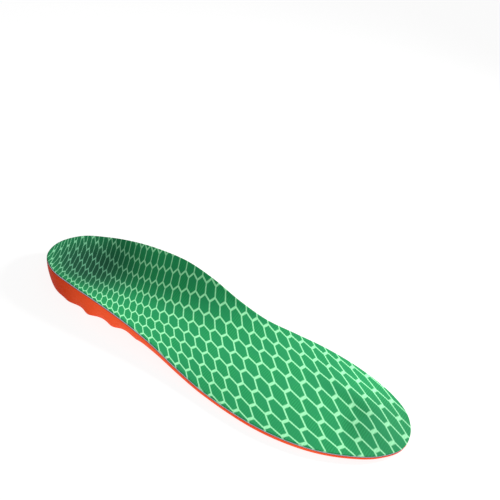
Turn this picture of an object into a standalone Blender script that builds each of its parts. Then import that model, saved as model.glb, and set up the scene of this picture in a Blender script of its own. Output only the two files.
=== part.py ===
"""A cushioned insole for a right foot, made of bonded layers and of pads set into its underside.

Metres, +Z up. +Y runs from the heel to the toes and +X to the outer, little-toe side. The origin lies on
the floor, under the middle of the insole's box.
"""

import math

import bmesh
import bpy
import numpy as np

MM = 0.001

# The top edge of the cover, in mm: x, y from the back of the heel, and height above the floor. Both
# lists run from the heel to the toes: the inner side carries the arch, the outer side stays low.
HEEL_BACK = (0, 0, 14.5)
TOE_TIP = (1, 264, 4.5)
INNER_RIM = [
    (-17, 5.5, 14.8),
    (-28.5, 21, 16),
    (-33, 42, 20),
    (-33.6, 62, 23.5),
    (-32.6, 85, 26),
    (-30.6, 108, 24.3),
    (-30.6, 130, 18.2),
    (-34, 150, 12),
    (-40, 170, 8.2),
    (-44.3, 190, 5.8),
    (-44.2, 210, 4.9),
    (-40.9, 228, 4.6),
    (-35.4, 243, 4.6),
    (-26, 256, 4.7),
    (-13.5, 263, 4.5),
]
OUTER_RIM = [
    (17, 5.5, 15.1),
    (28.6, 21, 16.8),
    (32.3, 40, 17.1),
    (33.2, 60, 16.1),
    (33.8, 82, 13.9),
    (35.5, 106, 10.6),
    (39.2, 130, 7),
    (42.5, 150, 5.3),
    (44.4, 170, 4.8),
    (44.6, 189, 4.6),
    (42, 208, 4.5),
    (36.8, 225, 4.5),
    (28.5, 240.5, 4.5),
    (16, 255.5, 4.5),
]

# The lowest line of the cover, from the heel to the toes: y, x and height, in mm.
SPINE = [
    (30, 0, 7.8),
    (60, 1, 8.4),
    (90, 5, 9.2),
    (120, 5, 8),
    (150, 2, 6.2),
    (185, -1, 5.3),
    (232, -3, 5),
]
HEEL_CENTRE_Y, TOE_CENTRE_Y, END_SOFTNESS = 36, 226, 16

# How steeply the sides rise: 1 is a plain slope, and more keeps the middle flat and lifts the edge.
INNER_RISE = [(30, 2.3), (90, 1.9), (150, 2.4), (232, 3)]
OUTER_RISE = [(30, 2.1), (90, 2.1), (150, 2.6), (232, 3)]

# A soft crest along the inner forefoot and round the toes: its height in mm, its start and top as shares
# of the way from the spine out to the rim, and the stretches of the rim's y over which it grows.
CREST_HEIGHT, CREST_START, CREST_TOP = 1.5, 0.08, 0.42
INNER_CREST_GROWS, OUTER_CREST_GROWS = (192, 222), (236, 264)

# The layers, from the top down, in mm. The foam is given in its middle and at the rim, where it is fine.
COVER = 0.7
FOAM_HEEL, FOAM_FOREFOOT = (2.4, 0.5), (1.6, 0.3)
FOAM_THINS_FROM_Y, FOAM_THINS_TO_Y = 110, 160
FOAM_FULLNESS = 5
GAP = 0.3

# The footbed's side wall: how far it pulls in from the rim to the floor, by y, and how round it is.
INNER_PULL_IN = [(0, 6), (40, 5), (90, 11), (130, 6.5), (165, 3), (264, 2.6)]
OUTER_PULL_IN = [
    (0, 6),
    (10, 5),
    (18, 3.4),
    (26, 2.7),
    (36, 2.4),
    (48, 2.6),
    (60, 3.4),
    (70, 4.4),
    (80, 6.2),
    (90, 7),
    (110, 5.8),
    (135, 2.8),
    (165, 1.8),
    (264, 2),
]
WALL_ROUNDNESS = 1.6

# The flutes along both sides of the heel, in mm.
FLUTE_PITCH, FLUTE_DEPTH, FLUTE_LEAN = 19.3, 1.4, 0.25
FIRST_FLUTE_Y = 36.2
FLUTES_GROW, FLUTES_FADE = (26, 52), (82, 108)  # from y, to y

# Pads in the underside, in mm: centre x, centre y, half width, half length, thickness and turn.
HEEL_PAD = (0, 38, 20, 25, 3, 0)
FOREFOOT_PAD = (-1, 185, 32, 21, 1.2, -14)
ARCH_SUPPORT = (-8.5, 95, 9, 31, 4, 3)
PAD_ABOVE_FLOOR = 0.3
PAD_EDGE_RADIUS = 0.4
PAD_SEGMENTS = 56

# Flex grooves across the underside, in mm.
FLEX_GROOVE_YS = (138, 146, 154, 216, 224)
FLEX_GROOVE_WIDTH, FLEX_GROOVE_DEPTH, FLEX_GROOVE_LENGTH, FLEX_GROOVE_TURN = 1.8, 0.8, 56, -14

STATIONS = 84  # along each side, from the heel to the toes
RINGS = (0, 0.22, 0.42, 0.62, 0.79, 0.92, 1)  # from the spine out to the rim
WALL_STEPS = 5
UPRIGHT_POWER = 4  # how late the layers' directions turn upright on their way out to the rim
SHARP_ANGLE = math.radians(40)

COLLECTION = "cushioned_insole"
CUTTERS = "cutters"


def through(knots, at):
    """A smooth curve through knots, rows of position and values, read at the positions in at."""
    knots = np.array(knots, float)
    place, values = knots[:, 0], knots[:, 1:]
    slopes = np.gradient(values, place, axis=0)
    at = np.clip(np.asarray(at, float), place[0], place[-1])
    i = np.clip(np.searchsorted(place, at) - 1, 0, len(place) - 2)
    span = (place[i + 1] - place[i])[:, None]
    t = (at - place[i])[:, None] / span
    start = (1 + 2 * t) * (1 - t) ** 2 * values[i] + t * (1 - t) ** 2 * slopes[i] * span
    end = t**2 * (3 - 2 * t) * values[i + 1] + t**2 * (t - 1) * slopes[i + 1] * span
    return start + end


def smoothstep(low, high, x):
    t = np.clip((x - low) / (high - low), 0, 1)
    return t * t * (3 - 2 * t)


def rim():
    """Matching points on the inner and the outer side of the rim, from the heel to the toes."""
    loop = [HEEL_BACK, *INNER_RIM, TOE_TIP, *reversed(OUTER_RIM)]
    tip = len(INNER_RIM) + 1
    overlap = 3
    around = np.array(loop[-overlap:] + loop + loop[: overlap + 1], float)
    along = np.concatenate([[0], np.cumsum(np.linalg.norm(np.diff(around, axis=0), axis=1))])
    knots = np.column_stack([along, around])
    heel, toe, heel_again = along[overlap], along[overlap + tip], along[overlap + len(loop)]
    inner = through(knots, np.linspace(heel, toe, STATIONS + 1))
    outer = through(knots, np.linspace(heel_again, toe, STATIONS + 1))
    return inner, outer


def soft_limits(y, low, high, softness):
    """y held between two limits, with rounded corners."""
    y = (y + low + np.sqrt((y - low) ** 2 + softness**2)) / 2
    return (y + high - np.sqrt((y - high) ** 2 + softness**2)) / 2


def outward(inner, outer):
    """Level outward directions at the rim's points, on the inner and the outer side."""
    loop = np.concatenate([inner, outer[-2:0:-1]])
    ahead = np.roll(loop, -1, axis=0) - np.roll(loop, 1, axis=0)
    out = np.column_stack([-ahead[:, 1], ahead[:, 0]])
    out /= np.linalg.norm(out, axis=1)[:, None]
    inner_out = out[: len(inner)]
    outer_out = np.concatenate([inner_out[:1], out[len(inner) :][::-1], inner_out[-1:]])
    return inner_out, outer_out


def half_surface(side, spine, rise):
    """The cover's upper surface on one side: points by station and ring."""
    u = np.array(RINGS)[None, :, None]
    points = spine[:, None, :] + (side - spine)[:, None, :] * u
    lift = u[..., 0] ** rise
    points[..., 2] = spine[:, 2:3] + (side[:, 2:3] - spine[:, 2:3]) * lift
    return points


def crest(grown, u):
    """The height of the crest at the share u of the way out to the rim, where it has grown that far."""
    return CREST_HEIGHT * grown * smoothstep(CREST_START, CREST_TOP, u) * (1 - smoothstep(CREST_TOP, 1, u))


def point_numbers(columns):
    """Numbers for a net's points. The first and the last row are folded, so that their halves share."""
    number = np.arange((STATIONS + 1) * columns).reshape(STATIONS + 1, columns)
    half = columns // 2
    for row in (0, STATIONS):
        number[row, :half] = number[row, : half : -1]
    return number


class Insole:
    """The shared shape that every layer is cut from, in mm, centred on its own box."""

    def __init__(self):
        inner, outer = rim()
        rims = np.concatenate([inner, outer])
        middle = (rims.min(axis=0) + rims.max(axis=0)) / 2
        self.shift = np.array([middle[0], middle[1], 0])
        y = soft_limits((inner[:, 1] + outer[:, 1]) / 2, HEEL_CENTRE_Y, TOE_CENTRE_Y, END_SOFTNESS)
        x_and_z = through(SPINE, y)
        spine = np.column_stack([x_and_z[:, 0], y, x_and_z[:, 1]])
        left = half_surface(inner, spine, through(INNER_RISE, y))
        right = half_surface(outer, spine, through(OUTER_RISE, y))
        left[..., 2] += crest(smoothstep(*INNER_CREST_GROWS, inner[:, 1:2]), np.array(RINGS))
        right[..., 2] += crest(smoothstep(*OUTER_CREST_GROWS, outer[:, 1:2]), np.array(RINGS))
        self.top = np.concatenate([left[:, ::-1], right[:, 1:]], axis=1)
        self.u = np.array(RINGS[::-1] + RINGS[1:])
        self.number = point_numbers(len(self.u))
        self.down = self.layer_directions()
        self.inner_out, self.outer_out = outward(inner, outer)

    def layer_directions(self):
        """Downward directions to stack the layers along: square to the surface, upright at the rim."""
        along = np.gradient(self.top, axis=0)
        across = np.gradient(self.top, axis=1)
        normal = np.cross(across, along)
        normal /= np.maximum(np.linalg.norm(normal, axis=2), 1e-9)[..., None]
        normal[normal[..., 2] < 0] *= -1
        normal[0], normal[-1] = self.end_normals(0), self.end_normals(-1)
        upright = (self.u**UPRIGHT_POWER)[None, :, None]
        mixed = normal * (1 - upright) + np.array([0, 0, 1]) * upright
        return -mixed / np.linalg.norm(mixed, axis=2)[..., None]

    def end_normals(self, row):
        """Normals along the spoke at the heel or the toes, which lies in an upright plane."""
        half = len(self.u) // 2
        spoke = self.top[row, half:]
        rise, run = np.gradient(spoke[:, 2]), np.gradient(spoke[:, 1])
        normal = np.column_stack([np.zeros(half + 1), -rise, run])
        normal /= np.linalg.norm(normal, axis=1)[:, None]
        normal[normal[:, 2] < 0] *= -1
        return np.concatenate([normal[:0:-1], normal])

    def foam_thickness(self):
        """The foam's thickness at each point, down from its middle to its edge at the rim."""
        forward = smoothstep(FOAM_THINS_FROM_Y, FOAM_THINS_TO_Y, self.top[..., 1])
        middle = FOAM_HEEL[0] + (FOAM_FOREFOOT[0] - FOAM_HEEL[0]) * forward
        edge = FOAM_HEEL[1] + (FOAM_FOREFOOT[1] - FOAM_HEEL[1]) * forward
        return middle + (edge - middle) * self.u**FOAM_FULLNESS

    def sheet(self, depth):
        """The points of the surface that lies depth mm under the cover's upper side."""
        depth = np.broadcast_to(depth, self.top.shape[:2])
        return self.top + self.down * depth[..., None]


def flute_wave(y):
    """How far the flutes stand out at y, from -1 to 1."""
    phase = 2 * math.pi * (y - FIRST_FLUTE_Y) / FLUTE_PITCH
    strength = smoothstep(*FLUTES_GROW, y) * (1 - smoothstep(*FLUTES_FADE, y))
    return np.cos(phase + FLUTE_LEAN * np.sin(phase)) * strength


def add_object(name, bm, collection):
    mesh = bpy.data.meshes.new(name)
    bm.to_mesh(mesh)
    bm.free()
    mesh.shade_smooth()
    mesh.set_sharp_from_angle(angle=SHARP_ANGLE)
    obj = bpy.data.objects.new(name, mesh)
    collection.objects.link(obj)
    return obj


class Net:
    """A bmesh built from nets of points that share the insole's stations and columns."""

    def __init__(self, insole):
        self.insole = insole
        self.bm = bmesh.new()

    def add_points(self, points):
        """Vertices by station and column; the folded end rows share theirs."""
        flat = (points - self.insole.shift) * MM
        made = {}
        rows = []
        for row, numbers in zip(flat, self.insole.number):
            for point, number in zip(row, numbers):
                if number not in made:
                    made[number] = self.bm.verts.new(point)
            rows.append([made[number] for number in numbers])
        return rows

    def fill(self, rows, facing_up):
        for low, high in zip(rows, rows[1:]):
            for a, b, c, d in zip(low, low[1:], high[1:], high):
                corners = list(dict.fromkeys((a, b, c, d)))
                if len(corners) > 2:
                    self.bm.faces.new(corners if facing_up else corners[::-1])

    def join(self, upper, lower):
        """The band of faces between two closed loops of vertices that run clockwise from above."""
        for a, b, c, d in zip(upper, upper[1:] + upper[:1], lower[1:] + lower[:1], lower):
            self.bm.faces.new((a, b, c, d))


def edge_loop(rows):
    """The outer vertices, from the back of the heel up the inner side and back down the outer."""
    return [row[0] for row in rows] + [row[-1] for row in rows[-2:0:-1]]


def layer(insole, name, top_depth, bottom_depth, collection):
    """A bonded layer: the solid between two depths under the cover's upper side."""
    net = Net(insole)
    top = net.add_points(insole.sheet(top_depth))
    bottom = net.add_points(insole.sheet(bottom_depth))
    net.fill(top, True)
    net.fill(bottom, False)
    net.join(edge_loop(top), edge_loop(bottom))
    return add_object(name, net.bm, collection)


def wall_loops(insole, top_rows):
    """Points of the footbed's side wall, loop by loop, from under the rim down to the floor."""
    sides = (
        (top_rows[:, 0], insole.inner_out, INNER_PULL_IN, slice(None)),
        (top_rows[:, -1], insole.outer_out, OUTER_PULL_IN, slice(-2, 0, -1)),
    )
    power = 2 / WALL_ROUNDNESS
    for step in range(1, WALL_STEPS + 1):
        turn = step / WALL_STEPS * math.pi / 2
        drop, reach = math.sin(turn) ** power, 1 - math.cos(turn) ** power
        loop = []
        for edge, out, pull_in, order in sides:
            y = edge[:, 1]
            inset = through(pull_in, y)[:, 0] * reach - FLUTE_DEPTH * flute_wave(y) * drop**3
            points = edge.copy()
            points[:, :2] -= out * inset[:, None]
            points[:, 2] *= 1 - drop
            loop.append(points[order])
        yield np.concatenate(loop)


def footbed_blank(insole, top_depth, collection):
    """The moulded footbed before its underside is cut: layered top, fluted wall and flat base."""
    net = Net(insole)
    surface = insole.sheet(top_depth)
    top = net.add_points(surface)
    net.fill(top, True)
    above = edge_loop(top)
    for points in wall_loops(insole, surface):
        below = [net.bm.verts.new(point) for point in (points - insole.shift) * MM]
        net.join(above, below)
        above = below
    net.bm.faces.new(above)
    return add_object("footbed", net.bm, collection)


def oval(insole, name, spec, grow, low, high, collection):
    """An upright oval cylinder from low to high, with spec's plan shape grown on all sides."""
    x, y, half_width, half_length, _, turn = spec
    bm = bmesh.new()
    bmesh.ops.create_cone(bm, cap_ends=True, segments=PAD_SEGMENTS, radius1=1, radius2=1, depth=1)
    size = ((half_width + grow) * MM, (half_length + grow) * MM, (high - low) * MM)
    bmesh.ops.scale(bm, vec=size, verts=bm.verts)
    obj = add_object(name, bm, collection)
    obj.location = ((x - insole.shift[0]) * MM, (y - insole.shift[1]) * MM, (low + high) / 2 * MM)
    obj.rotation_euler.z = math.radians(turn)
    return obj


def pad(insole, name, spec, collection):
    """A pad with rounded edges, set just above the floor."""
    obj = oval(insole, name, spec, 0, PAD_ABOVE_FLOOR, PAD_ABOVE_FLOOR + spec[4], collection)
    edge = obj.modifiers.new("rounded edges", "BEVEL")
    edge.width = PAD_EDGE_RADIUS * MM
    edge.segments = 2
    edge.limit_method = "ANGLE"
    return obj


def cut(obj, cutter):
    """Takes the cutter out of obj, and hides it."""
    modifier = obj.modifiers.new(cutter.name, "BOOLEAN")
    modifier.operation = "DIFFERENCE"
    modifier.solver = "EXACT"
    modifier.object = cutter
    cutter.hide_render = True
    cutter.display_type = "WIRE"


def cut_recess(insole, footbed, name, spec, collection):
    depth = PAD_ABOVE_FLOOR + spec[4] + GAP
    cut(footbed, oval(insole, name, spec, GAP, -depth, depth, collection))


def cut_flex_grooves(insole, footbed, collection):
    for number, y in enumerate(FLEX_GROOVE_YS, 1):
        bm = bmesh.new()
        bmesh.ops.create_cube(bm, size=1)
        size = (FLEX_GROOVE_LENGTH, FLEX_GROOVE_WIDTH, 2 * FLEX_GROOVE_DEPTH)
        bmesh.ops.scale(bm, vec=[side * MM for side in size], verts=bm.verts)
        cutter = add_object(f"flex_groove_{number}", bm, collection)
        cutter.location = (-insole.shift[0] * MM, (y - insole.shift[1]) * MM, 0)
        cutter.rotation_euler.z = math.radians(FLEX_GROOVE_TURN)
        cut(footbed, cutter)


def finish(obj, colour, roughness):
    material = bpy.data.materials.new(obj.name)
    material.use_nodes = True
    shader = material.node_tree.nodes["Principled BSDF"]
    shader.inputs["Base Color"].default_value = (*colour, 1)
    shader.inputs["Roughness"].default_value = roughness
    shader.inputs["Metallic"].default_value = 0
    material.diffuse_color = (*colour, 1)
    obj.data.materials.append(material)


def new_collection(name):
    collection = bpy.data.collections.new(name)
    bpy.context.scene.collection.children.link(collection)
    return collection


def main():
    for obj in list(bpy.data.objects):
        bpy.data.objects.remove(obj)
    parts, cutters = new_collection(COLLECTION), new_collection(CUTTERS)
    insole = Insole()

    foam_top = COVER + GAP
    foam_bottom = foam_top + insole.foam_thickness()
    cover = layer(insole, "top_cover", 0, COVER, parts)
    foam = layer(insole, "comfort_foam", foam_top, foam_bottom, parts)
    footbed = footbed_blank(insole, foam_bottom + GAP, parts)
    cut_recess(insole, footbed, "heel_pad_recess", HEEL_PAD, cutters)
    cut_recess(insole, footbed, "forefoot_pad_recess", FOREFOOT_PAD, cutters)
    cut_recess(insole, footbed, "arch_support_recess", ARCH_SUPPORT, cutters)
    cut_flex_grooves(insole, footbed, cutters)
    heel_pad = pad(insole, "heel_pad", HEEL_PAD, parts)
    forefoot_pad = pad(insole, "forefoot_pad", FOREFOOT_PAD, parts)
    arch_support = pad(insole, "arch_support", ARCH_SUPPORT, parts)

    finish(cover, (0.02, 0.36, 0.11), 0.85)
    finish(foam, (0.75, 0.82, 0.80), 0.9)
    finish(footbed, (0.80, 0.09, 0.01), 0.55)
    finish(heel_pad, (0.02, 0.25, 0.10), 0.35)
    finish(forefoot_pad, (0.02, 0.25, 0.10), 0.35)
    finish(arch_support, (0.05, 0.05, 0.05), 0.5)


main()
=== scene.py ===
"""The looks of the cushioned insole: fine meshes and materials for each layer, light and camera.

The shape's own lengths are in mm and become metres as its points are placed. Materials, lights and the
camera are in metres. The frame is the CAD model's: +Y from the heel to the toes, +X to the outer side,
+Z up, with the floor at z = 0.
"""

import math

import bmesh
import bpy
import numpy as np
from mathutils import Matrix, Vector


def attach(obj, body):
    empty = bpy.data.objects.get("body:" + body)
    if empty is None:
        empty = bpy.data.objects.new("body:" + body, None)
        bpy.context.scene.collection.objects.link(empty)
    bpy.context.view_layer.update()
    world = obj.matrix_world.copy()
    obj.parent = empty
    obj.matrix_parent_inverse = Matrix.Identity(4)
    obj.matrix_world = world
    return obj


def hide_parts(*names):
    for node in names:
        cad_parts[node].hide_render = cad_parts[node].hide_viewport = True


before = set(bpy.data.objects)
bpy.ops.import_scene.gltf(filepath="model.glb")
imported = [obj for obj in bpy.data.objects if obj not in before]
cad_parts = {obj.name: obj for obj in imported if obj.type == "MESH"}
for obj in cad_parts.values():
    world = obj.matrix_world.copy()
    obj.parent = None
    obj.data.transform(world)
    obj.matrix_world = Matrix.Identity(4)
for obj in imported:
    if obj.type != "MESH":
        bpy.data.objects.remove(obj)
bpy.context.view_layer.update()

MM = 0.001

# --- The shape of the insole, as in the CAD model -------------------------------------------------

# The top edge of the cover, in mm: x, y from the back of the heel, and height above the floor. The
# points are rounded from a fit to the real object's outline.
HEEL_BACK = (0, 0, 14.5)
TOE_TIP = (1, 264, 4.5)
INNER_RIM = [
    (-17, 5.5, 14.8),
    (-28.5, 21, 16),
    (-33, 42, 20),
    (-33.6, 62, 23.5),
    (-32.6, 85, 26),
    (-30.6, 108, 24.3),
    (-30.6, 130, 18.2),
    (-34, 150, 12),
    (-40, 170, 8.2),
    (-44.3, 190, 5.8),
    (-44.2, 210, 4.9),
    (-40.9, 228, 4.6),
    (-35.4, 243, 4.6),
    (-26, 256, 4.7),
    (-13.5, 263, 4.5),
]
OUTER_RIM = [
    (17, 5.5, 15.1),
    (28.6, 21, 16.8),
    (32.3, 40, 17.1),
    (33.2, 60, 16.1),
    (33.8, 82, 13.9),
    (35.5, 106, 10.6),
    (39.2, 130, 7),
    (42.5, 150, 5.3),
    (44.4, 170, 4.8),
    (44.6, 189, 4.6),
    (42, 208, 4.5),
    (36.8, 225, 4.5),
    (28.5, 240.5, 4.5),
    (16, 255.5, 4.5),
]

# The lowest line of the cover, from the heel to the toes: y, x and height, in mm.
SPINE = [
    (30, 0, 7.8),
    (60, 1, 8.4),
    (90, 5, 9.2),
    (120, 5, 8),
    (150, 2, 6.2),
    (185, -1, 5.3),
    (232, -3, 5),
]
HEEL_CENTRE_Y, TOE_CENTRE_Y, END_SOFTNESS = 36, 226, 16

# How steeply the sides rise: 1 is a plain slope, and more keeps the middle flat and lifts the edge.
INNER_RISE = [(30, 2.3), (90, 1.9), (150, 2.4), (232, 3)]
OUTER_RISE = [(30, 2.1), (90, 2.1), (150, 2.6), (232, 3)]

# A soft crest along the inner forefoot and round the toes: its height in mm, its start and top as shares
# of the way from the spine out to the rim, and the stretches of the rim's y over which it grows.
CREST_HEIGHT, CREST_START, CREST_TOP = 1.5, 0.08, 0.42
INNER_CREST_GROWS, OUTER_CREST_GROWS = (192, 222), (236, 264)

# The layers, in mm. The visible ones fill the CAD model's glue gaps down to a fine seam.
COVER, GAP = 0.7, 0.3
FOAM_HEEL, FOAM_FOREFOOT = (2.4, 0.5), (1.6, 0.3)
FOAM_THINS_FROM_Y, FOAM_THINS_TO_Y = 110, 160
FOAM_FULLNESS = 5
SWELL, SWELL_POWER = 0.12, 12  # how far a piece fills a gap, and how late the footbed does towards the rim
FOAM_RECESS = 0.1  # how far the foam's edge stands back from the rim
UPRIGHT_POWER = 4  # how late the layers' directions turn upright on their way out to the rim
NEAR_RIM = 0.9  # the share of the way out to the rim from which edges pull in and rings lie closer

# The footbed's side wall, in mm: how far it pulls in from the rim to the floor, by y, and how round it is.
INNER_PULL_IN = [(0, 6), (40, 5), (90, 11), (130, 6.5), (165, 3), (264, 2.6)]
OUTER_PULL_IN = [
    (0, 6),
    (10, 5),
    (18, 3.4),
    (26, 2.7),
    (36, 2.4),
    (48, 2.6),
    (60, 3.4),
    (70, 4.4),
    (80, 6.2),
    (90, 7),
    (110, 5.8),
    (135, 2.8),
    (165, 1.8),
    (264, 2),
]
WALL_ROUNDNESS = 1.6

# The flutes along both sides of the heel, in mm.
FLUTE_PITCH, FLUTE_DEPTH, FLUTE_LEAN = 19.3, 1.4, 0.25
FIRST_FLUTE_Y = 36.2
FLUTES_GROW, FLUTES_FADE = (26, 52), (82, 108)  # from y, to y

# Pads in the underside, in mm: centre x, centre y, half width, half length, thickness and turn.
HEEL_PAD = (0, 38, 20, 25, 3, 0)
FOREFOOT_PAD = (-1, 185, 32, 21, 1.2, -14)
ARCH_SUPPORT = (-8.5, 95, 9, 31, 4, 3)
PAD_ABOVE_FLOOR, PAD_CORNER = 0.3, 0.5
PAD_RINGS, PAD_SPOKES = 60, 220

# The honeycomb moulded into the pads' undersides, in mm: its cells, its depth, and how it fades to the edge.
GROOVE_CELL, GROOVE_DIP, GROOVE_FADES = 6.0, 0.45, (1.5, 2.5)
GROOVE_EDGES = (0.05, 0.13)  # in cells, from a groove's floor to its land

# Flex grooves across the underside, in mm.
FLEX_GROOVE_YS = (138, 146, 154, 216, 224)
FLEX_GROOVE_WIDTH, FLEX_GROOVE_DEPTH, FLEX_GROOVE_LENGTH, FLEX_GROOVE_TURN = 1.8, 0.8, 56, -14

# --- The printed net, by y in mm from the insole's middle ----------------------------------------

# Cell lengths, row widths and the row through zero in mm, lean and bow in cells. All are rounded from a fit
# to the real print's cells.
CELL_LENGTH = [
    (-132, 3.9), (-80, 4.45), (-50, 5.2), (-10, 7.4), (50, 9.8), (90, 11.3), (132, 11.9),
]
CELL_LEAN = [
    (-132, -0.065), (-98, -0.038), (-60, -0.013), (-30, 0.002), (20, -0.002), (80, -0.012),
    (132, -0.012),
]
ROW_WIDTH = [
    (-132, 6), (-112, 9.8), (-90, 10.8), (-55, 11.7), (-20, 10.6), (20, 11.7), (60, 13), (90, 12.3),
    (132, 10.5),
]
ROW_ZERO_X = [
    (-132, -17), (-112, -5), (-80, 4.4), (-60, 4.4), (-20, -5), (20, -15), (60, -24.5), (100, -26),
    (132, -23),
]
ROW_BOW = [(-132, -0.3), (-30, -0.6), (20, 0), (80, 0.4), (132, 0.4)]  # at SIDE_REACH from the middle line
PHASE_AT_MIDDLE = -0.67
SIDE_REACH = 40
EDGE_CROWDING = 0.12  # how much closer the rows lie at SIDE_REACH from the middle line
NET_LINE = (0.035, 0.085)  # in cells, from the middle of a printed line to its edge

# --- The knit and the floor -----------------------------------------------------------------------

# The knit's ribs and wales, and where painted shade darkens the print and how far: in the heel cup and under
# the toes.
# Painted shade darkens the footbed's orange towards the back of the heel. All are in metres.
RIB_PITCH, WALE_PITCH = 0.0015, 0.0007
PAINTED_CUP_SHADE_CENTRE, PAINTED_CUP_SHADE_REACH = (0, -0.106, 0.009), (0.008, 0.05)
PAINTED_TOE_SHADE_CENTRE, PAINTED_TOE_SHADE_REACH = (-0.006, 0.124, 0.005), (0.012, 0.045)
PAINTED_HEEL_SHADE_Y = (-0.108, -0.058)
PAINTED_CUP_SHADE_ON_CELLS = (0.42, 0.24, 0.34, 1)
PAINTED_CUP_SHADE_ON_LINES = (0.34, 0.42, 0.46, 1)
PAINTED_TOE_SHADE_TINT = (0.8, 0.78, 0.8, 1)
PAINTED_HEEL_SHADE_TINT = (0.56, 0.32, 0.04, 1)
GRAIN_TINT = (0.9, 0.75, 0.7, 1)

FLOOR_HALF, FLOOR_GLOW, SKY_GLOW = 4.0, 0.87, 0.33

# --- Fineness ---------------------------------------------------------------------------------------

STATIONS = 300
RINGS = np.concatenate([np.linspace(0, NEAR_RIM, 28)[:-1], np.linspace(NEAR_RIM, 1, 9)])
FEW_RINGS = np.append(RINGS[::2], 1)
WALL_STEPS = 18
EDGE_STEPS = 6
SHARP_ANGLE = math.radians(50)


def through(knots, at):
    """A smooth curve through knots, rows of position and values, read at the positions in at."""
    knots = np.array(knots, float)
    place, values = knots[:, 0], knots[:, 1:]
    slopes = np.gradient(values, place, axis=0)
    at = np.clip(np.asarray(at, float), place[0], place[-1])
    i = np.clip(np.searchsorted(place, at) - 1, 0, len(place) - 2)
    span = (place[i + 1] - place[i])[..., None]
    t = (at - place[i])[..., None] / span
    start = (1 + 2 * t) * (1 - t) ** 2 * values[i] + t * (1 - t) ** 2 * slopes[i] * span
    end = t**2 * (3 - 2 * t) * values[i + 1] + t**2 * (t - 1) * slopes[i + 1] * span
    return start + end


def smoothstep(low, high, x):
    t = np.clip((x - low) / (high - low), 0, 1)
    return t * t * (3 - 2 * t)


def rim():
    """Matching points on the inner and the outer side of the rim, from the heel to the toes."""
    loop = [HEEL_BACK, *INNER_RIM, TOE_TIP, *reversed(OUTER_RIM)]
    tip = len(INNER_RIM) + 1
    overlap = 3
    around = np.array(loop[-overlap:] + loop + loop[: overlap + 1], float)
    along = np.concatenate([[0], np.cumsum(np.linalg.norm(np.diff(around, axis=0), axis=1))])
    knots = np.column_stack([along, around])
    heel, toe, heel_again = along[overlap], along[overlap + tip], along[overlap + len(loop)]
    inner = through(knots, np.linspace(heel, toe, STATIONS + 1))
    outer = through(knots, np.linspace(heel_again, toe, STATIONS + 1))
    return inner, outer


def soft_limits(y, low, high, softness):
    """y held between two limits, with rounded corners."""
    y = (y + low + np.sqrt((y - low) ** 2 + softness**2)) / 2
    return (y + high - np.sqrt((y - high) ** 2 + softness**2)) / 2


def outward(inner, outer):
    """Level outward directions at the rim's points, on the inner and the outer side."""
    loop = np.concatenate([inner, outer[-2:0:-1]])
    ahead = np.roll(loop, -1, axis=0) - np.roll(loop, 1, axis=0)
    out = np.column_stack([-ahead[:, 1], ahead[:, 0], np.zeros(len(ahead))])
    out /= np.linalg.norm(out, axis=1)[:, None]
    inner_out = out[: len(inner)]
    outer_out = np.concatenate([inner_out[:1], out[len(inner) :][::-1], inner_out[-1:]])
    return inner_out, outer_out


def crest(grown, u):
    """The height of the crest at the share u of the way out to the rim, where it has grown that far."""
    return CREST_HEIGHT * grown * smoothstep(CREST_START, CREST_TOP, u) * (1 - smoothstep(CREST_TOP, 1, u))


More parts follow.
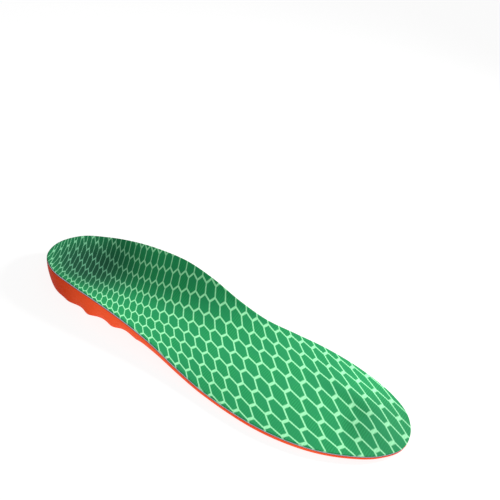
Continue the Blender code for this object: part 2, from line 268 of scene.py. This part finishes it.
class Insole:
    """The shape that every layer is cut from, in mm, centred on its own box."""

    def __init__(self, rings):
        inner, outer = rim()
        rims = np.concatenate([inner, outer])
        middle = (rims.min(axis=0) + rims.max(axis=0)) / 2
        self.shift = np.array([middle[0], middle[1], 0])
        y = soft_limits((inner[:, 1] + outer[:, 1]) / 2, HEEL_CENTRE_Y, TOE_CENTRE_Y, END_SOFTNESS)
        x_and_z = through(SPINE, y)
        spine = np.column_stack([x_and_z[:, 0], y, x_and_z[:, 1]])
        left = self.half(inner, spine, through(INNER_RISE, y), rings)
        right = self.half(outer, spine, through(OUTER_RISE, y), rings)
        left[..., 2] += crest(smoothstep(*INNER_CREST_GROWS, inner[:, 1:2]), rings)
        right[..., 2] += crest(smoothstep(*OUTER_CREST_GROWS, outer[:, 1:2]), rings)
        self.top = np.concatenate([left[:, ::-1], right[:, 1:]], axis=1)
        self.u = np.concatenate([rings[::-1], rings[1:]])
        self.inner_out, self.outer_out = outward(inner, outer)
        self.down = self.layer_directions()

    @staticmethod
    def half(side, spine, rise, rings):
        """The cover's upper surface on one side: points by station and ring."""
        points = spine[:, None] + (side - spine)[:, None] * rings[None, :, None]
        points[..., 2] = spine[:, 2:3] + (side[:, 2:3] - spine[:, 2:3]) * rings[None] ** rise
        return points

    def layer_directions(self):
        """Downward directions to stack the layers along: square to the surface, upright at the rim."""
        normal = np.cross(np.gradient(self.top, axis=1), np.gradient(self.top, axis=0))
        normal /= np.maximum(np.linalg.norm(normal, axis=2), 1e-9)[..., None]
        normal[normal[..., 2] < 0] *= -1
        half = len(self.u) // 2
        for row in (0, -1):
            spoke = self.top[row, half:]
            slope, run = np.gradient(spoke[:, 2]), np.gradient(spoke[:, 1])
            square = np.column_stack([np.zeros(half + 1), -slope, run])
            square /= np.linalg.norm(square, axis=1)[:, None]
            square[square[:, 2] < 0] *= -1
            normal[row] = np.concatenate([square[:0:-1], square])
        upright = (self.u**UPRIGHT_POWER)[None, :, None]
        mixed = normal * (1 - upright) + np.array([0, 0, 1.0]) * upright
        return -mixed / np.linalg.norm(mixed, axis=2)[..., None]

    def foam_thickness(self):
        """The foam's thickness at each point, down from its middle to its edge at the rim."""
        forward = smoothstep(FOAM_THINS_FROM_Y, FOAM_THINS_TO_Y, self.top[..., 1])
        middle = FOAM_HEEL[0] + (FOAM_FOREFOOT[0] - FOAM_HEEL[0]) * forward
        edge = FOAM_HEEL[1] + (FOAM_FOREFOOT[1] - FOAM_HEEL[1]) * forward
        return middle + (edge - middle) * self.u**FOAM_FULLNESS

    def sheet(self, depth, pulled_in=0.0):
        """The points depth mm under the cover's upper side, with the rim pulled in a little."""
        points = self.top + self.down * np.broadcast_to(depth, self.top.shape[:2])[..., None]
        near_rim = smoothstep(NEAR_RIM, 1, self.u)[None, :, None] * pulled_in
        half = len(self.u) // 2
        points[:, :half] -= self.inner_out[:, None] * near_rim[:, :half]
        points[:, half:] -= self.outer_out[:, None] * near_rim[:, half:]
        return points


def edge_loop(grid):
    """The outer points, from the back of the heel up the inner side and back down the outer."""
    return np.concatenate([grid[:, 0], grid[-2:0:-1, -1]])


def outward_loop(insole):
    return np.concatenate([insole.inner_out, insole.outer_out[-2:0:-1]])


class MeshMaker:
    """Collects points and faces for one mesh. Points come in mm from the back of the heel."""

    def __init__(self, shift):
        self.shift, self.points, self.faces, self.count = shift, [], [], 0

    def add(self, points):
        """Adds points of any shape, and returns their numbers in that shape."""
        flat = points.reshape(-1, 3)
        self.points.append((flat - self.shift) * MM)
        numbers = np.arange(self.count, self.count + len(flat)).reshape(points.shape[:-1])
        self.count += len(flat)
        return numbers

    def add_net(self, points):
        """Adds a net whose first and last rows are folded in half, so that their halves meet."""
        numbers = self.add(points)
        half = numbers.shape[1] // 2
        for row in (0, -1):
            numbers[row, :half] = numbers[row, :half:-1]
            numbers[row, half] = numbers[row, half + 1]  # so the two faces at the fold's end are triangles
        return numbers

    def quads(self, a, b, c, d):
        """Faces through matching corners. One that meets a point twice becomes a triangle."""
        for corners in np.stack([a, b, c, d], axis=-1).reshape(-1, 4).tolist():
            self.faces.append(list(dict.fromkeys(corners)))

    def fill(self, net, facing_up=True):
        a, b, c, d = net[:-1, :-1], net[:-1, 1:], net[1:, 1:], net[1:, :-1]
        if facing_up:
            self.quads(a, b, c, d)
        else:
            self.quads(d, c, b, a)

    def join(self, upper, lower):
        """The band of faces between two closed loops that run clockwise from above."""
        self.quads(upper, np.roll(upper, -1), np.roll(lower, -1), lower)

    def make(self, name, material):
        mesh = bpy.data.meshes.new(name)
        mesh.from_pydata(np.concatenate(self.points).tolist(), [], self.faces)
        bm = bmesh.new()
        bm.from_mesh(mesh)
        loose = [v for v in bm.verts if not v.link_faces]
        bmesh.ops.delete(bm, geom=loose, context="VERTS")
        bm.to_mesh(mesh)
        bm.free()
        mesh.shade_smooth()
        mesh.set_sharp_from_angle(angle=SHARP_ANGLE)
        obj = bpy.data.objects.new(name, mesh)
        bpy.context.scene.collection.objects.link(obj)
        mesh.materials.append(material)
        return obj


# --- The visible pieces -----------------------------------------------------------------------------


def rounded_layer(insole, name, top_depth, bottom_depth, recess, material):
    """A layer with a half-round edge, recess mm inside the rim."""
    maker = MeshMaker(insole.shift)
    radius = np.mean(bottom_depth[:, -1] - top_depth) / 2
    upper_points = insole.sheet(top_depth, recess + radius)
    lower_points = insole.sheet(bottom_depth, recess + radius)
    upper = maker.add_net(upper_points)
    lower = maker.add_net(lower_points)
    maker.fill(upper)
    maker.fill(lower, facing_up=False)
    high, low, out = edge_loop(upper_points), edge_loop(lower_points), outward_loop(insole)
    above = edge_loop(upper)
    for step in range(1, EDGE_STEPS):
        turn = math.pi * step / EDGE_STEPS
        share = (1 - math.cos(turn)) / 2
        below = maker.add(high * (1 - share) + low * share + out * radius * math.sin(turn))
        maker.join(above, below)
        above = below
    maker.join(above, edge_loop(lower))
    return maker.make(name, material)


def flute_wave(y):
    """How far the flutes stand out at y, from -1 to 1."""
    phase = 2 * math.pi * (y - FIRST_FLUTE_Y) / FLUTE_PITCH
    strength = smoothstep(*FLUTES_GROW, y) * (1 - smoothstep(*FLUTES_FADE, y))
    return np.cos(phase + FLUTE_LEAN * np.sin(phase)) * strength


def wall_loops(insole, rim_points):
    """Points of the footbed's side wall, loop by loop, from under the rim down to the floor."""
    y = rim_points[:, 1]
    inner = through(INNER_PULL_IN, y)[:, 0]
    outer = through(OUTER_PULL_IN, y)[:, 0]
    pull_in = np.where(np.arange(len(y)) <= STATIONS, inner, outer)
    out, power = outward_loop(insole), 2 / WALL_ROUNDNESS
    for step in range(1, WALL_STEPS + 1):
        turn = step / WALL_STEPS * math.pi / 2
        drop, reach = math.sin(turn) ** power, 1 - math.cos(turn) ** power
        points = rim_points - out * (pull_in * reach - FLUTE_DEPTH * flute_wave(y) * drop**3)[:, None]
        points[:, 2] = rim_points[:, 2] * (1 - drop)
        yield points


def cutter(insole, name, corners, height, turn, place):
    """A hidden upright prism with the given plan, from -height to height, that footbeds are cut with."""
    bm = bmesh.new()
    low = [bm.verts.new((x * MM, y * MM, -height * MM)) for x, y in corners]
    high = [bm.verts.new((x * MM, y * MM, height * MM)) for x, y in corners]
    bm.faces.new(low[::-1])
    bm.faces.new(high)
    for a, b, c, d in zip(low, low[1:] + low[:1], high[1:] + high[:1], high):
        bm.faces.new((a, b, c, d))
    mesh = bpy.data.meshes.new(name)
    bm.to_mesh(mesh)
    bm.free()
    obj = bpy.data.objects.new(name, mesh)
    x, y = place[0] - insole.shift[0], place[1] - insole.shift[1]
    obj.matrix_world = Matrix.Translation((x * MM, y * MM, 0)) @ Matrix.Rotation(math.radians(turn), 4, "Z")
    bpy.context.scene.collection.objects.link(obj)
    return obj


def oval_plan(half_width, half_length, points=120):
    angles = np.linspace(0, 2 * math.pi, points, endpoint=False)
    return [(half_width * math.cos(a), half_length * math.sin(a)) for a in angles]


def slot_plan(length, width, points=8):
    """A straight slot with round ends, along x."""
    angles = np.linspace(-math.pi / 2, math.pi / 2, points)
    reach, radius = length / 2 - width / 2, width / 2
    right = [(reach + radius * math.cos(a), radius * math.sin(a)) for a in angles]
    return right + [(-x, -y) for x, y in right]


def cut_away(obj, cutters):
    """Takes the cutters out of obj for good, and removes them."""
    for tool in cutters:
        modifier = obj.modifiers.new(tool.name, "BOOLEAN")
        modifier.operation = "DIFFERENCE"
        modifier.solver = "EXACT"
        modifier.object = tool
    graph = bpy.context.evaluated_depsgraph_get()
    mesh = bpy.data.meshes.new_from_object(obj.evaluated_get(graph))
    obj.modifiers.clear()
    obj.data = mesh
    for tool in cutters:
        bpy.data.objects.remove(tool)


def make_footbed(material):
    insole = Insole(FEW_RINGS)
    maker = MeshMaker(insole.shift)
    depth = COVER + GAP + insole.foam_thickness() + GAP - SWELL * insole.u**SWELL_POWER
    surface = insole.sheet(depth)
    top = maker.add_net(surface)
    maker.fill(top)
    above = edge_loop(top)
    for points in wall_loops(insole, edge_loop(surface)):
        below = maker.add(points)
        maker.join(above, below)
        above = below
    maker.faces.append(above.tolist())
    footbed = maker.make("moulded_footbed", material)
    cutters = []
    for name, spec in (("heel", HEEL_PAD), ("forefoot", FOREFOOT_PAD), ("arch", ARCH_SUPPORT)):
        x, y, half_width, half_length, thickness, turn = spec
        plan = oval_plan(half_width + GAP, half_length + GAP)
        cutters.append(cutter(insole, name, plan, PAD_ABOVE_FLOOR + thickness + GAP, turn, (x, y)))
    for y in FLEX_GROOVE_YS:
        plan = slot_plan(FLEX_GROOVE_LENGTH, FLEX_GROOVE_WIDTH)
        cutters.append(cutter(insole, f"groove_{y}", plan, FLEX_GROOVE_DEPTH, FLEX_GROOVE_TURN, (0, y)))
    cut_away(footbed, cutters)
    return footbed


def print_place(points):
    """Where each point lies in the printed net: along and across, in cells."""
    x, y = points[..., 0], points[..., 1]
    fine = np.linspace(-140, 140, 561)
    cells = np.cumsum((fine[1] - fine[0]) / through(CELL_LENGTH, fine)[:, 0])
    along = np.interp(y, fine, cells - np.interp(0, fine, cells)) + PHASE_AT_MIDDLE
    along = along + through(CELL_LEAN, y)[..., 0] * x
    along = along + through(ROW_BOW, y)[..., 0] * (x / SIDE_REACH) ** 2
    crowded = x * (1 + EDGE_CROWDING * (x / SIDE_REACH) ** 2)
    across = (crowded - through(ROW_ZERO_X, y)[..., 0]) / through(ROW_WIDTH, y)[..., 0]
    return along, across


def make_cover(insole, material):
    rim_bottom = np.full(insole.top.shape[:2], COVER + SWELL)
    cover = rounded_layer(insole, "printed_cover", 0.0, rim_bottom, 0, material)
    points = np.empty(len(cover.data.vertices) * 3)
    cover.data.vertices.foreach_get("co", points)
    along, across = print_place(points.reshape(-1, 3) / MM)
    place = np.column_stack([along - across, across * math.sqrt(3) / 2, np.zeros(len(along))])
    attribute = cover.data.attributes.new("net_place", "FLOAT_VECTOR", "POINT")
    attribute.data.foreach_set("vector", place.ravel())
    return cover


# --- Materials --------------------------------------------------------------------------------------


class Nodes:
    """Builds one material's node tree."""

    def __init__(self, name):
        self.material = bpy.data.materials.new(name)
        self.material.use_nodes = True
        self.tree = self.material.node_tree
        self.shader = self.tree.nodes["Principled BSDF"]

    def add(self, kind, inputs=(), **settings):
        """Adds a node, sets its properties, and links or sets its inputs by name or number."""
        node = self.tree.nodes.new("ShaderNode" + kind)
        for key, value in settings.items():
            setattr(node, key, value)
        for key, value in dict(inputs).items():
            self.put(node.inputs[key], value)
        return node

    def put(self, socket, value):
        if isinstance(value, bpy.types.NodeSocket):
            self.tree.links.new(value, socket)
        else:
            socket.default_value = value

    def math(self, operation, a, b=0.0, c=0.0):
        return self.add("Math", {0: a, 1: b, 2: c}, operation=operation).outputs[0]

    def vector(self, operation, a, b=(0, 0, 0), c=(0, 0, 0)):
        return self.add("VectorMath", {0: a, 1: b, 2: c}, operation=operation).outputs[0]

    def ramp(self, value, low, high, to_low=0.0, to_high=1.0, smooth=True):
        kind = "SMOOTHSTEP" if smooth else "LINEAR"
        inputs = {"Value": value, "From Min": low, "From Max": high, "To Min": to_low, "To Max": to_high}
        return self.add("MapRange", inputs, interpolation_type=kind).outputs[0]

    def mix(self, factor, a, b, blend="MIX"):
        node = self.add("Mix", data_type="RGBA", blend_type=blend)
        for key, value in ((0, factor), (6, a), (7, b)):
            self.put(node.inputs[key], value)
        return node.outputs[2]

    def noise(self, place, scale, detail=2.0):
        inputs = {"Vector": place, "Scale": scale, "Detail": detail, "Roughness": 0.5}
        return self.add("TexNoise", inputs).outputs["Fac"]

    def bump(self, height, distance, strength=1.0, below=None):
        inputs = {"Height": height, "Distance": distance, "Strength": strength}
        if below is not None:
            inputs["Normal"] = below
        return self.add("Bump", inputs).outputs[0]

    def object_place(self):
        return self.add("TexCoord").outputs["Object"]

    def set(self, **inputs):
        for key, value in inputs.items():
            self.put(self.shader.inputs[key.replace("_", " ")], value)
        return self.material


def colour(red, green, blue):
    """A linear colour from display values of 0 to 255."""
    def linear(v):
        v /= 255
        return v / 12.92 if v <= 0.04045 else ((v + 0.055) / 1.055) ** 2.4
    return (linear(red), linear(green), linear(blue), 1)


def net_edge_distance(n, place):
    """Distance to the nearest edge of the printed net, in cells: 0 on an edge, 0.5 at a cell's middle."""
    root3 = math.sqrt(3)
    shortest = None
    for centre in ((0, 0, 0), (0.5, root3 / 2, 0)):
        shifted = n.vector("SUBTRACT", place, centre)
        wrapped = n.vector("WRAP", shifted, (0.5, root3 / 2, 1), (-0.5, -root3 / 2, -1))
        split = n.add("SeparateXYZ", {0: n.vector("ABSOLUTE", wrapped)})
        half_way = n.math("MULTIPLY", split.outputs[0], 0.5)
        slanted = n.math("MULTIPLY_ADD", split.outputs[1], root3 / 2, half_way)
        reach = n.math("MAXIMUM", split.outputs[0], slanted)
        shortest = reach if shortest is None else n.math("MINIMUM", shortest, reach)
    return n.math("SUBTRACT", 0.5, shortest)


def bands(n, place, direction, pitch, distortion):
    """Soft bands across a direction, pitch metres apart."""
    inputs = {"Vector": place, "Scale": math.pi / 10 / pitch, "Distortion": distortion, "Detail": 1.0}
    return n.add("TexWave", inputs, wave_type="BANDS", bands_direction=direction).outputs["Fac"]


def knit_height(n, place):
    """A fine knit: ribs that run across the insole, crossed by finer wales."""
    ribs = bands(n, place, "Y", RIB_PITCH, 1.2)
    wales = bands(n, place, "X", WALE_PITCH, 0.8)
    return n.math("MULTIPLY_ADD", wales, 0.35, n.math("MULTIPLY", ribs, 0.65))


def tinted(n, shade, tint):
    return n.mix(1.0, shade, tint, "MULTIPLY")


def with_painted_shade(n, shade, place, centre, reach, tint):
    """shade, tinted with painted shade up to reach's first distance from centre and unchanged from its
    second.
    """
    away = n.add("VectorMath", {0: place, 1: centre}, operation="DISTANCE").outputs["Value"]
    return n.mix(n.ramp(away, *reach, 1, 0), shade, tinted(n, shade, tint))


def printed_knit():
    n = Nodes("printed_knit")
    place = n.object_place()
    net = n.add("Attribute", attribute_name="net_place").outputs["Vector"]
    edge = net_edge_distance(n, net)
    line = n.ramp(edge, *NET_LINE, 1, 0)
    knit = knit_height(n, place)
    patchy = n.noise(place, 90.0, 3.0)
    cell = n.mix(n.ramp(knit, 0.2, 0.8), colour(26, 141, 81), colour(38, 166, 97))
    cell = n.mix(n.ramp(patchy, 0.35, 0.65), cell, colour(32, 151, 91))
    mint = n.mix(n.ramp(knit, 0.2, 0.8), colour(154, 240, 178), colour(168, 252, 192))
    # Painted shade: the print's cells and lines darken in the heel cup, where shade falls.
    cell = with_painted_shade(n, cell, place, PAINTED_CUP_SHADE_CENTRE, PAINTED_CUP_SHADE_REACH, PAINTED_CUP_SHADE_ON_CELLS)
    mint = with_painted_shade(n, mint, place, PAINTED_CUP_SHADE_CENTRE, PAINTED_CUP_SHADE_REACH, PAINTED_CUP_SHADE_ON_LINES)
    # Painted shade: the print darkens a little under the toes.
    base = with_painted_shade(n, n.mix(line, cell, mint), place, PAINTED_TOE_SHADE_CENTRE, PAINTED_TOE_SHADE_REACH, PAINTED_TOE_SHADE_TINT)
    height = n.math("MULTIPLY_ADD", line, 0.25, knit)
    normal = n.bump(height, 0.00012, 0.4)
    return n.set(Base_Color=base, Roughness=0.85, Specular_IOR_Level=0.2, Normal=normal)


def soft_foam():
    n = Nodes("soft_foam")
    place = n.object_place()
    cells = n.add("TexVoronoi", {"Vector": place, "Scale": 1800.0}).outputs["Distance"]
    shade = n.mix(n.noise(place, 300.0), colour(178, 174, 200), colour(200, 196, 220))
    normal = n.bump(cells, 0.00015, 0.6)
    return n.set(Base_Color=shade, Roughness=0.9, Normal=normal)


def moulded_foam():
    n = Nodes("moulded_foam")
    place = n.object_place()
    broad = n.noise(place, 28.0, 3.0)
    fine = n.noise(place, 900.0, 2.0)
    shade = n.mix(n.ramp(broad, 0.3, 0.7), colour(246, 84, 40), colour(252, 94, 46))
    # Painted shade: the orange darkens towards the back of the heel.
    forward = n.ramp(n.add("SeparateXYZ", {0: place}).outputs[1], *PAINTED_HEEL_SHADE_Y)
    shade = n.mix(forward, tinted(n, shade, PAINTED_HEEL_SHADE_TINT), shade)
    shade = n.mix(n.ramp(fine, 0.3, 0.75, 0, 0.3), shade, tinted(n, shade, GRAIN_TINT))
    rough = n.ramp(fine, 0.2, 0.8, 0.5, 0.62, smooth=False)
    normal = n.bump(fine, 0.0001, 0.4, n.bump(broad, 0.0004, 0.3))
    return n.set(Base_Color=shade, Roughness=rough, Specular_IOR_Level=0.04, Normal=normal)


def pad_gel():
    n = Nodes("pad_gel")
    place = n.object_place()
    cloudy = n.noise(place, 60.0, 4.0)
    shade = n.mix(cloudy, colour(20, 128, 86), colour(40, 158, 108))
    normal = n.bump(n.noise(place, 500.0), 0.00008, 0.4)
    return n.set(Base_Color=shade, Roughness=0.32, Normal=normal, Coat_Weight=0.3)


def firm_foam():
    n = Nodes("firm_foam")
    place = n.object_place()
    grain = n.add("TexVoronoi", {"Vector": place, "Scale": 1100.0}).outputs["Distance"]
    shade = n.mix(n.noise(place, 200.0), colour(44, 46, 48), colour(62, 64, 66))
    return n.set(Base_Color=shade, Roughness=0.7, Normal=n.bump(grain, 0.00012, 0.6))


def light_table():
    """A white floor that glows a little, which keeps the shadows on it pale."""
    n = Nodes("light_table")
    grain = n.noise(n.object_place(), 3.0, 4.0)
    shade = n.mix(grain, colour(126, 126, 126), colour(129, 129, 129))
    white = (1, 1, 1, 1)
    return n.set(Base_Color=shade, Roughness=0.9, Emission_Color=white, Emission_Strength=FLOOR_GLOW)


def pad_piece(insole, name, spec, material):
    """A pad with a honeycomb of shallow grooves moulded into its underside."""
    x, y, half_width, half_length, thickness, turn = spec
    angles = np.linspace(0, 2 * math.pi, PAD_SPOKES, endpoint=False)
    shares = np.linspace(0, 1, PAD_RINGS + 1)[1:]
    px = np.cos(angles)[None] * shares[:, None] * half_width
    py = np.sin(angles)[None] * shares[:, None] * half_length
    cos, sin = math.cos(math.radians(turn)), math.sin(math.radians(turn))
    wx, wy = px * cos - py * sin + x, px * sin + py * cos + y
    edge = (1 - shares)[:, None] * min(half_width, half_length)
    corner = PAD_CORNER - np.sqrt(np.maximum(PAD_CORNER**2 - np.maximum(PAD_CORNER - edge, 0) ** 2, 0))
    corner = np.broadcast_to(corner, wx.shape)
    groove = groove_pattern(px, py) * smoothstep(*GROOVE_FADES, edge)
    low = PAD_ABOVE_FLOOR + corner + GROOVE_DIP * groove
    high = PAD_ABOVE_FLOOR + thickness - corner
    maker = MeshMaker(insole.shift)
    bottom = maker.add(np.stack([wx, wy, low], axis=-1))
    top = maker.add(np.stack([wx, wy, high], axis=-1))
    middle_groove = GROOVE_DIP * float(groove_pattern(0.0, 0.0))
    middle_low = maker.add(np.array([[x, y, PAD_ABOVE_FLOOR + middle_groove]]))
    middle_high = maker.add(np.array([[x, y, PAD_ABOVE_FLOOR + thickness]]))
    for i in range(PAD_RINGS - 1):
        maker.quads(bottom[i], np.roll(bottom[i], -1), np.roll(bottom[i + 1], -1), bottom[i + 1])
        maker.quads(top[i + 1], np.roll(top[i + 1], -1), np.roll(top[i], -1), top[i])
    maker.quads(bottom[-1], np.roll(bottom[-1], -1), np.roll(top[-1], -1), top[-1])
    for a, b in zip(bottom[0], np.roll(bottom[0], -1)):
        maker.faces.append([int(b), int(a), int(middle_low[0])])
    for a, b in zip(top[0], np.roll(top[0], -1)):
        maker.faces.append([int(a), int(b), int(middle_high[0])])
    return maker.make(name, material)


def groove_pattern(x, y):
    """1 in the grooves of the pads' honeycomb, and 0 on its lands."""
    root3 = math.sqrt(3)
    reach = []
    for cx, cy in ((0, 0), (0.5, root3 / 2)):
        a = np.abs((np.asarray(x) / GROOVE_CELL - cx + 0.5) % 1 - 0.5)
        b = np.abs((np.asarray(y) / GROOVE_CELL - cy + root3 / 2) % root3 - root3 / 2)
        reach.append(np.maximum(a, a / 2 + b * root3 / 2))
    edge = 0.5 - np.minimum(*reach)
    return 1 - smoothstep(*GROOVE_EDGES, edge)


# --- Stage -----------------------------------------------------------------------------------------


def make_floor():
    mesh = bpy.data.meshes.new("floor")
    corners = [(x * FLOOR_HALF, y * FLOOR_HALF, 0) for x, y in ((-1, -1), (1, -1), (1, 1), (-1, 1))]
    mesh.from_pydata(corners, [], [(0, 1, 2, 3)])
    floor = bpy.data.objects.new("floor", mesh)
    bpy.context.scene.collection.objects.link(floor)
    mesh.materials.append(light_table())


def area_light(name, place, target, size, power):
    lamp = bpy.data.lights.new(name, "AREA")
    lamp.shape, lamp.size, lamp.energy = "DISK", size, power
    obj = bpy.data.objects.new(name, lamp)
    obj.location = place
    obj.rotation_euler = (Vector(target) - Vector(place)).to_track_quat("-Z", "Y").to_euler()
    bpy.context.scene.collection.objects.link(obj)


def make_light():
    world = bpy.data.worlds.new("studio")
    world.use_nodes = True
    sky = world.node_tree.nodes["Background"]
    sky.inputs["Color"].default_value = (1, 1, 1, 1)
    sky.inputs["Strength"].default_value = SKY_GLOW
    bpy.context.scene.world = world
    area_light("key", (-0.48, 0.36, 0.31), (0, 0.02, 0), size=0.2, power=6.8)
    area_light("fill", (1.2, 1.0, 0.5), (0, 0, 0), size=1.2, power=7)


def make_camera():
    """A camera on the outer, toe side, turned a little about its own axis."""
    azimuth, elevation, roll = math.radians(114.5), math.radians(32), math.radians(12.67)
    distance, lens = 0.551, 52.3
    aim = Vector((-0.1033, -0.0367, 0.008))
    forward = Vector((
        -math.sin(azimuth) * math.cos(elevation),
        math.cos(azimuth) * math.cos(elevation),
        -math.sin(elevation),
    ))
    level = Vector((math.cos(azimuth), math.sin(azimuth), 0))
    upright = level.cross(forward)
    right = level * math.cos(roll) + upright * math.sin(roll)
    up = upright * math.cos(roll) - level * math.sin(roll)
    data = bpy.data.cameras.new("camera")
    data.lens, data.sensor_width, data.clip_start = lens, 36, 0.01
    camera = bpy.data.objects.new("camera", data)
    camera.matrix_world = Matrix((right, up, -forward)).transposed().to_4x4()
    camera.location = aim - forward * distance
    bpy.context.scene.collection.objects.link(camera)
    bpy.context.scene.camera = camera


def main():
    bpy.context.scene.view_settings.view_transform = "Standard"
    make_floor()
    make_light()
    make_camera()
    insole = Insole(RINGS)
    cover = make_cover(insole, printed_knit())
    foam_top = COVER + GAP - SWELL
    foam_bottom = COVER + GAP + insole.foam_thickness() + SWELL
    foam = rounded_layer(insole, "soft_foam_layer", foam_top, foam_bottom, FOAM_RECESS, soft_foam())
    footbed = make_footbed(moulded_foam())
    gel = pad_gel()
    pads = {
        "heel_pad": pad_piece(insole, "heel_cushion", HEEL_PAD, gel),
        "forefoot_pad": pad_piece(insole, "forefoot_cushion", FOREFOOT_PAD, gel),
        "arch_support": pad_piece(insole, "arch_insert", ARCH_SUPPORT, firm_foam()),
    }
    pieces = {"top_cover": cover, "comfort_foam": foam, "footbed": footbed, **pads}
    for node, piece in pieces.items():
        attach(piece, "root")
        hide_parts(node)


main()
